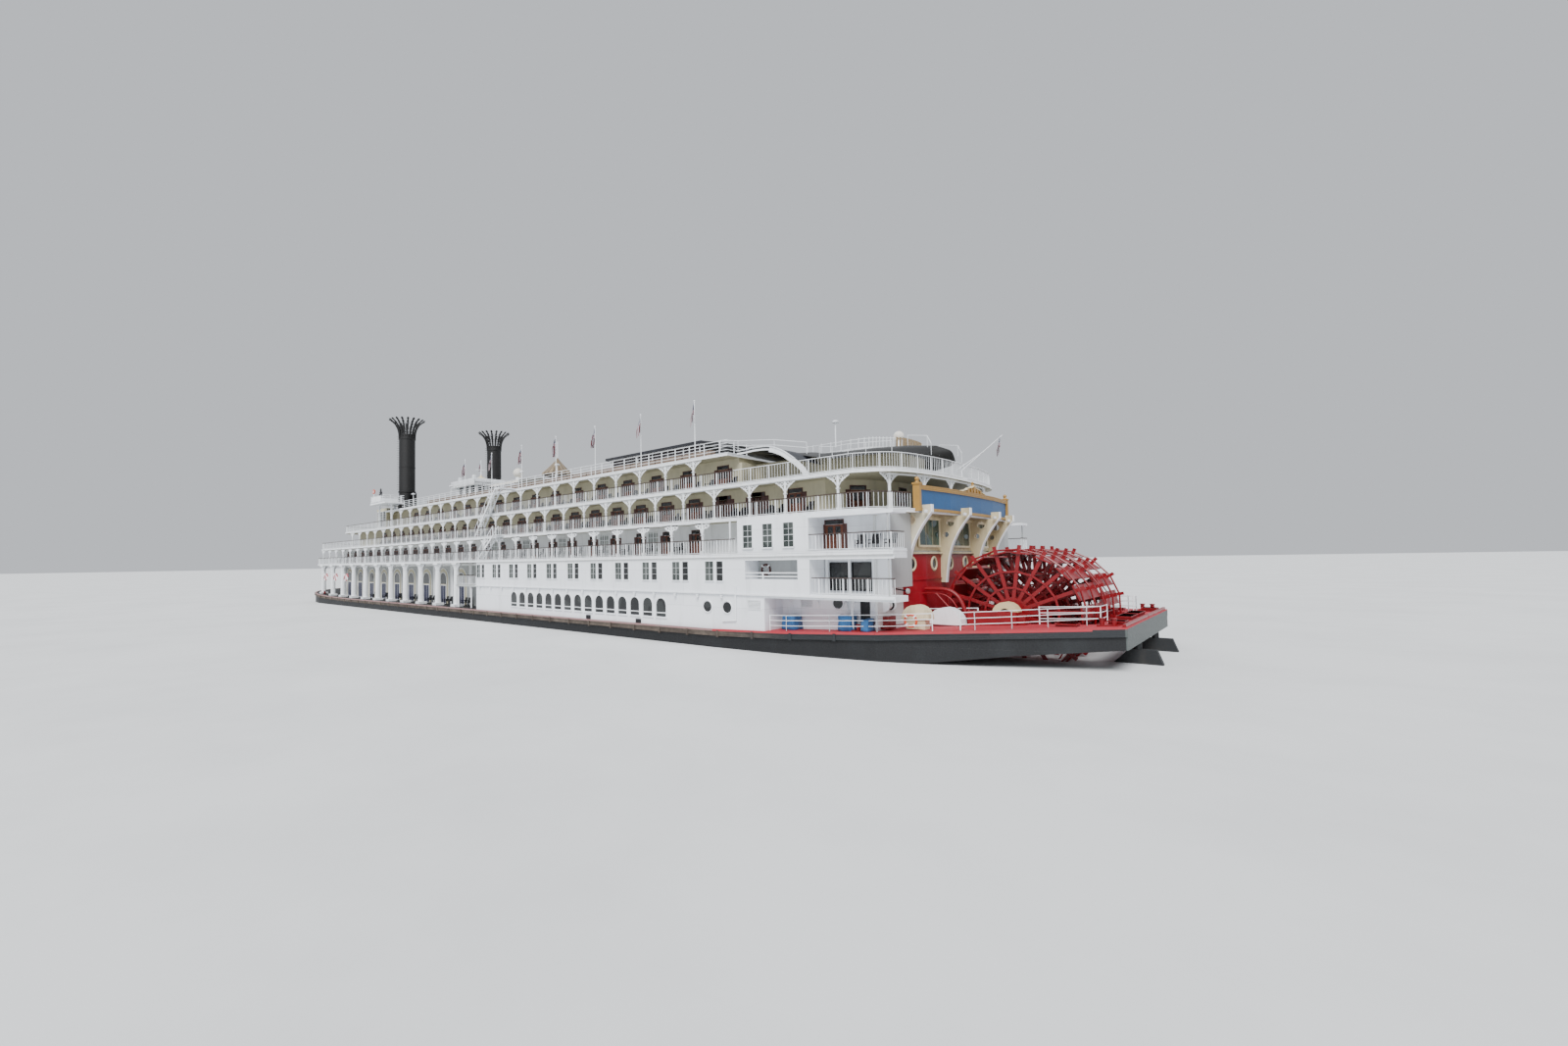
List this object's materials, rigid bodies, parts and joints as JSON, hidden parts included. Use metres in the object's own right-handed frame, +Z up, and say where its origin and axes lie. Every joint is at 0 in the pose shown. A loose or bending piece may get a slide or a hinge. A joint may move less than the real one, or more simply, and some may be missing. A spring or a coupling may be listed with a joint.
{
  "type": "sternwheel passenger riverboat, 1:10 scale model",
  "caption": "Tiered passenger riverboat with galleries on every deck, fold-down smokestacks, a red paddle wheel that turns in a stern well, and rudders behind it.",
  "frame": {"origin": "amidships on the flat bottom of the hull, on the centre line", "axes": "+X forward to the bow, +Y to port, +Z up"},
  "size_m": [12.87, 2.74, 3.19],
  "materials": {
    "white_paint": "satin weathered white",
    "navy_paint": "satin, scuffed",
    "grey_timber": "weathered",
    "deck_red_paint": "matt non-slip",
    "red_paint": "gloss",
    "cream_paint": "satin",
    "gold_paint": "satin",
    "blue_paint": "satin",
    "black_paint": "satin",
    "tan_paint": "matt",
    "black_canvas": "matt"
  },
  "bodies": {
    "boat": {"rail_five_port": "white_paint", "rail_five_starboard": "white_paint", "columns_three_port": "white_paint", "columns_three_starboard": "white_paint", "columns_four_port": "white_paint", "columns_four_starboard": "white_paint", "stern_wall": "cream_paint", "rail_four_port": "white_paint", "rail_four_starboard": "white_paint", "rail_three_port": "white_paint", "rail_three_starboard": "white_paint", "rail_six_port": "white_paint", "columns_five_port": "white_paint", "columns_five_starboard": "white_paint", "stern_rail_port": "white_paint", "stern_rail_starboard": "white_paint", "bridge_wings": "white_paint", "fore_columns_port": "white_paint", "fore_columns_starboard": "white_paint", "pilothouse": "white_paint", "deck_edge_guard": "grey_timber", "stack_base_starboard": "black_paint", "stack_base_port": "black_paint", "stern_columns": "cream_paint", "rail_six_starboard": "white_paint", "main_house_aft": "white_paint", "hull": "navy_paint", "fore_house": "white_paint", "tent_roof": "tan_paint", "wheel_bearing_port": "cream_paint", "wheel_bearing_starboard": "cream_paint", "long_awning": "black_canvas", "house_three_aft": "white_paint", "deck_three": "white_paint", "side_stair_port": "white_paint", "side_stair_starboard": "white_paint", "house_five": "white_paint", "fore_canopy": "white_paint", "deck_four": "white_paint", "deck_five": "white_paint", "drum_cover_aft_port": "cream_paint", "drum_cover_aft_starboard": "cream_paint", "drum_cover_fore_port": "cream_paint", "drum_cover_fore_starboard": "cream_paint", "stern_deck": "deck_red_paint", "pilothouse_roof": "white_paint", "name_board": "blue_paint", "wheel_bulkhead": "red_paint", "house_four": "white_paint", "stern_canopy": "black_canvas", "slat_screen": "tan_paint", "main_house": "white_paint", "board_pediment": "gold_paint", "deck_six": "white_paint", "house_three": "white_paint"},
    "paddle_wheel": {"paddle_wheel": "red_paint"},
    "rudder_port": {"rudder_port": "black_paint"},
    "rudder_starboard": {"rudder_starboard": "black_paint"},
    "stack_port": {"stack_port": "black_paint"},
    "stack_starboard": {"stack_starboard": "black_paint"}
  },
  "joints": [
    {"name": "paddle_wheel_spin", "type": "hinge", "parent": "boat", "child": "paddle_wheel", "pos_m": [-5.741, 0, 0.533], "axis": [0, 1, 0], "continuous": true},
    {"name": "rudder_port_turn", "type": "hinge", "parent": "boat", "child": "rudder_port", "pos_m": [-6.35, 0.34, 0.2], "axis": [0, 0, 1], "range_deg": [-35, 35]},
    {"name": "rudder_starboard_turn", "type": "hinge", "parent": "boat", "child": "rudder_starboard", "pos_m": [-6.35, -0.34, 0.2], "axis": [0, 0, 1], "range_deg": [-35, 35]},
    {"name": "stack_port_fold", "type": "hinge", "parent": "boat", "child": "stack_port", "pos_m": [2.673, 0.764, 1.99], "axis": [0, 1, 0], "range_deg": [-88, 0]},
    {"name": "stack_starboard_fold", "type": "hinge", "parent": "boat", "child": "stack_starboard", "pos_m": [2.673, -0.764, 1.99], "axis": [0, 1, 0], "range_deg": [-88, 0]}
  ]
}
